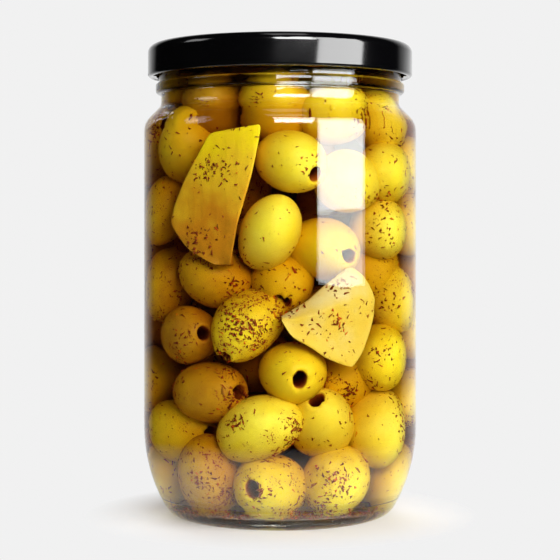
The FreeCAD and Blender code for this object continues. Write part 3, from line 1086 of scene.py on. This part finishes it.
def softbox(name, bearing, distance, middle, width, height, radiance, aim):
    """A soft lamp at a bearing, distance and height, aimed at a height on the axis; its power follows
    from its brightness."""
    out, _ = outward(bearing)
    data = bpy.data.lights.new(name, "AREA")
    data.shape = "RECTANGLE"
    data.size, data.size_y = width, height
    data.energy = 4 * radiance * width * height
    lamp = bpy.data.objects.new(name, data)
    lamp.location = Vector(out * distance) + Vector((0, 0, middle))
    lamp.rotation_euler = (Vector((0, 0, aim)) - lamp.location).to_track_quat("-Z", "Y").to_euler()
    bpy.context.scene.collection.objects.link(lamp)
    return lamp


def sweep_paper():
    """White background paper, matt: plain where the jar's shadow falls, and even beyond. A mirror image
    of it, on the glass or inside it, shows only the part near the jar."""
    material, tree = blank_material("background paper")
    white = linear(colours().sweep)
    place = add(tree, "TexCoord").outputs["Object"]
    far = add(tree, "VectorMath", {0: place}, operation="LENGTH").outputs["Value"]
    path = add(tree, "LightPath").outputs
    inner = add(tree, "Math", {0: path["Glossy Depth"], 1: 1.0}, operation="MINIMUM")
    mirrored = add(tree, "Math", {0: path["Is Glossy Ray"], 1: inner}, operation="MAXIMUM")
    rest = {0: path["Is Transmission Ray"], 1: mirrored}
    through = add(tree, "Math", rest, operation="SUBTRACT", use_clamp=True)
    seen = add(tree, "Math", {0: path["Is Camera Ray"], 1: through}, operation="MAXIMUM")
    past_shadow = add(tree, "MapRange", {0: far, 1: 41 * MM, 2: 62 * MM})
    past_image = add(tree, "MapRange", {0: far, 1: 50 * MM, 2: 160 * MM})
    share = add(tree, "Math", {0: past_shadow, 1: seen}, operation="MULTIPLY")
    gone = add(tree, "Math", {0: past_image, 1: mirrored}, operation="MULTIPLY")
    paper = add(tree, "BsdfDiffuse", {0: linear(colours().paper)})
    edged = add(tree, "MixShader", {0: gone, 1: paper, 2: add(tree, "BsdfTransparent")})
    mixed = add(tree, "MixShader", {0: share, 1: edged, 2: add(tree, "Emission", {0: white})})
    add(tree, "OutputMaterial", {"Surface": mixed})
    return material


def studio_world():
    """White behind the jar and to its right, dark in front of it, and plain white to the camera."""
    world = bpy.data.worlds.new("studio")
    world.use_nodes = True
    tree = world.node_tree
    tree.nodes.clear()
    white, dark, fill = linear(colours().sweep), (0.004, 0.004, 0.004, 1), (0.14, 0.14, 0.14, 1)
    way = add(tree, "SeparateXYZ", {0: add(tree, "TexCoord").outputs["Generated"]}).outputs
    ahead = add(tree, "Math", {0: way["X"], 1: 0.12, 2: way["Y"]}, operation="MULTIPLY_ADD")
    behind = add(tree, "MapRange", {0: ahead, 1: 0.62, 2: 0.97})
    path = add(tree, "LightPath").outputs
    inner = add(tree, "Math", {0: path["Glossy Depth"], 1: 1.0}, operation="MINIMUM")
    rest = {0: path["Is Transmission Ray"], 1: inner}
    through = add(tree, "Math", rest, operation="SUBTRACT", use_clamp=True)
    seen = add(tree, "Math", {0: path["Is Camera Ray"], 1: through}, operation="MAXIMUM")
    room = add(tree, "Mix", {0: behind, 6: dark, 7: white}, data_type="RGBA")
    soft = add(tree, "Mix", {0: path["Is Diffuse Ray"], 6: room, 7: fill}, data_type="RGBA")
    colour = add(tree, "Mix", {0: seen, 6: soft, 7: white}, data_type="RGBA")
    add(tree, "OutputWorld", {"Surface": add(tree, "Background", {0: colour, 1: 1.0})})
    return world


class OLIVEJAR_OT_stage(bpy.types.Operator):
    """Adds the floor, the lamps and the camera"""

    bl_idname = "olivejar.stage"
    bl_label = "Stage"

    def execute(self, context):
        scene = context.scene
        stage = scene.olive_jar_stage
        deselect()
        bpy.ops.mesh.primitive_circle_add(vertices=96, radius=0.2, fill_type="NGON", location=(0, 0, 0))
        floor = context.object
        floor.name = "floor"
        floor.data.materials.append(sweep_paper())
        scene.world = studio_world()
        key_middle = stage.key_foot + stage.key_height / 2
        skirt_middle = stage.key_foot - 28 * MM
        key = (stage.key_bearing, stage.key_distance)
        wide, tall = stage.key_width, stage.key_height
        # Name, bearing, distance, height, width, tall, brightness, height that it faces
        lamps = (
            ("key", *key, key_middle, wide, tall, stage.key_radiance, key_middle),
            ("skirt", *key, skirt_middle, wide, 55 * MM, stage.skirt_radiance, skirt_middle),
            ("front", 12, 1.0, 0.55, 0.6, 0.45, stage.front_radiance, 0.08),
            ("side", -80, 0.9, 0.6, 0.35, 0.35, stage.side_radiance, 0.08),
            ("back", 190, 1.1, 0.6, 0.8, 0.6, stage.back_radiance, 0.08),
            ("top", 16, 0.25, 1.2, 0.4, 0.4, stage.top_radiance, 0.1),
        )
        made = {lamp[0]: softbox(*lamp) for lamp in lamps}
        made["back"].visible_glossy = False
        data = bpy.data.cameras.new("camera")
        data.lens = stage.lens
        data.shift_y = stage.shift
        data.clip_start = 0.01
        camera = bpy.data.objects.new("camera", data)
        camera.location = (0, -stage.camera_distance, stage.camera_height)
        camera.rotation_euler = (math.pi / 2, 0, 0)
        scene.collection.objects.link(camera)
        scene.camera = camera
        scene.view_settings.view_transform = "Standard"
        return {"FINISHED"}


class OLIVEJAR_PT_panel(bpy.types.Panel):
    """Lists the steps that make the jar"""

    bl_label = "Olive jar"
    bl_idname = "OLIVEJAR_PT_panel"
    bl_space_type = "VIEW_3D"
    bl_region_type = "UI"
    bl_category = "Olive jar"

    def draw(self, context):
        for step in STEPS:
            self.layout.operator(step.bl_idname)
        for group in ("olive_jar_sizes", "olive_jar_colours", "olive_jar_stage"):
            settings = getattr(context.scene, group)
            for name in settings.bl_rna.properties.keys():
                if name not in ("rna_type", "name"):
                    self.layout.prop(settings, name, text=name.replace("_", " ").capitalize())


STEPS = (
    OLIVEJAR_OT_glass,
    OLIVEJAR_OT_lid,
    OLIVEJAR_OT_olives,
    OLIVEJAR_OT_garlic,
    OLIVEJAR_OT_herbs,
    OLIVEJAR_OT_oil,
    OLIVEJAR_OT_stage,
)
GROUPS = (OliveJarSizes, OliveJarColours, OliveJarStage)


def register():
    for group in GROUPS:
        bpy.utils.register_class(group)
    bpy.types.Scene.olive_jar_sizes = bpy.props.PointerProperty(type=OliveJarSizes)
    bpy.types.Scene.olive_jar_colours = bpy.props.PointerProperty(type=OliveJarColours)
    bpy.types.Scene.olive_jar_stage = bpy.props.PointerProperty(type=OliveJarStage)
    for step in STEPS:
        bpy.utils.register_class(step)
    bpy.utils.register_class(OLIVEJAR_PT_panel)


def unregister():
    bpy.utils.unregister_class(OLIVEJAR_PT_panel)
    for step in reversed(STEPS):
        bpy.utils.unregister_class(step)
    del bpy.types.Scene.olive_jar_stage
    del bpy.types.Scene.olive_jar_colours
    del bpy.types.Scene.olive_jar_sizes
    for group in reversed(GROUPS):
        bpy.utils.unregister_class(group)


def main():
    register()
    for step in STEPS:
        group, name = step.bl_idname.split(".")
        getattr(getattr(bpy.ops, group), name)()


if __name__ == "__main__":
    main()
